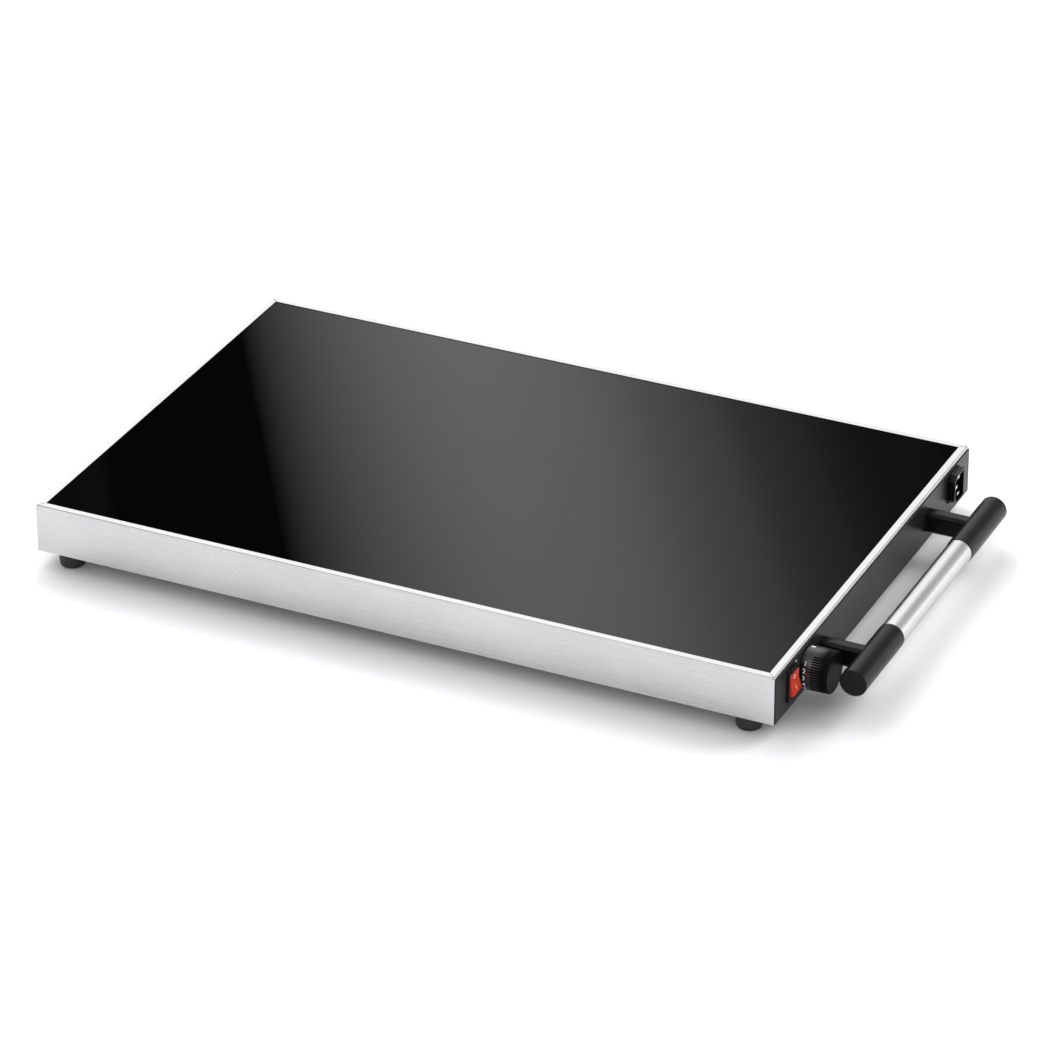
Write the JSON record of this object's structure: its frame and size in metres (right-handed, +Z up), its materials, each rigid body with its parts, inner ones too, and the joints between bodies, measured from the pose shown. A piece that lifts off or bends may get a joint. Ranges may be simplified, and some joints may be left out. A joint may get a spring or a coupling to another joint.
{
  "type": "electric food warmer tray",
  "caption": "Flat electric warming tray: steel casing, black glass top, and an end panel with rocker switch, dial knob, bar handle and mains inlet.",
  "frame": {"origin": "middle of the whole object's footprint, on the surface it stands on", "axes": "+X towards the handle end, +Y to the rear, +Z up"},
  "size_m": [0.6504, 0.38, 0.051],
  "materials": {
    "brushed_steel": "brushed along the long sides",
    "panel_black": "fine matt texture",
    "black_glass": "polished, opaque black",
    "black_plastic": "satin, moulded",
    "red_plastic": "glossy, tinted through",
    "rubber": "matt",
    "silicone": "matt, moulded",
    "plated_steel": "bright zinc plate",
    "sheet_steel": "plain galvanised sheet",
    "aluminium": "mill finish",
    "element_sheath": "dull sheath, darkened",
    "brass": "plain",
    "fibre": "soft mineral fibre",
    "lamp_glass": "clear glass",
    "brown_lead": "insulation",
    "blue_lead": "insulation",
    "red_lead": "insulation",
    "earth_lead": "insulation"
  },
  "bodies": {
    "root": {"casing": "brushed_steel", "base_plate": "sheet_steel", "base_screws": "plated_steel", "end_panel": "panel_black", "foot_front_left": "rubber", "foot_front_right": "rubber", "foot_rear_left": "rubber", "foot_rear_right": "rubber", "foot_screws": "plated_steel", "foot_nuts": "plated_steel", "glass_plate": "black_glass", "glass_seal": "silicone", "inner_frame": "sheet_steel", "heat_spreader": "aluminium", "heating_element": "element_sheath", "element_tips": "plated_steel", "clamp_bar_left": "sheet_steel", "clamp_bar_middle": "sheet_steel", "clamp_bar_right": "sheet_steel", "clamp_screws": "plated_steel", "insulation_mat": "fibre", "heat_shield": "sheet_steel", "thermostat_body": "plated_steel", "thermostat_nut": "brass", "thermostat_terminals": "brass", "thermostat_bulb": "brass", "bulb_clip": "aluminium", "switch_housing": "black_plastic", "switch_lamp": "lamp_glass", "switch_terminals": "brass", "inlet_housing": "black_plastic", "inlet_pins": "plated_steel", "inlet_retainer": "sheet_steel", "handle_end_front": "black_plastic", "handle_end_rear": "black_plastic", "handle_cap_front": "black_plastic", "handle_cap_rear": "black_plastic", "handle_tube": "brushed_steel", "handle_rod": "plated_steel", "handle_rod_nuts": "plated_steel", "handle_plates": "sheet_steel", "handle_screws": "plated_steel", "live_lead": "brown_lead", "neutral_lead": "blue_lead", "switched_lead": "brown_lead", "heater_live_lead": "red_lead", "heater_neutral_lead": "blue_lead", "earth_lead": "earth_lead", "earth_stud": "plated_steel", "earth_nut": "brass", "earth_tag": "brass"},
    "knob": {"knob": "black_plastic", "thermostat_spindle": "brass", "thermostat_cam": "black_plastic"},
    "rocker": {"switch_rocker": "red_plastic"},
    "contact": {"switch_contact": "brass"}
  },
  "joints": [
    {"name": "knob_turn", "type": "hinge", "parent": "root", "child": "knob", "pos_m": [0.28575, -0.1318, 0.0298], "axis": [-1, 0, 0], "range_deg": [-60, 78]},
    {"name": "rocker_tilt", "type": "hinge", "parent": "root", "child": "rocker", "pos_m": [0.27505, -0.1594, 0.0323], "axis": [0, 1, 0], "range_deg": [0, 20]},
    {"name": "contact_tip", "type": "hinge", "parent": "root", "child": "contact", "pos_m": [0.26505, -0.1594, 0.0323], "axis": [0, 1, 0], "range_deg": [-6, 0]}
  ],
  "couplings": [
    {"joint": "contact_tip", "follows": "rocker_tilt", "ratio": -0.3}
  ]
}
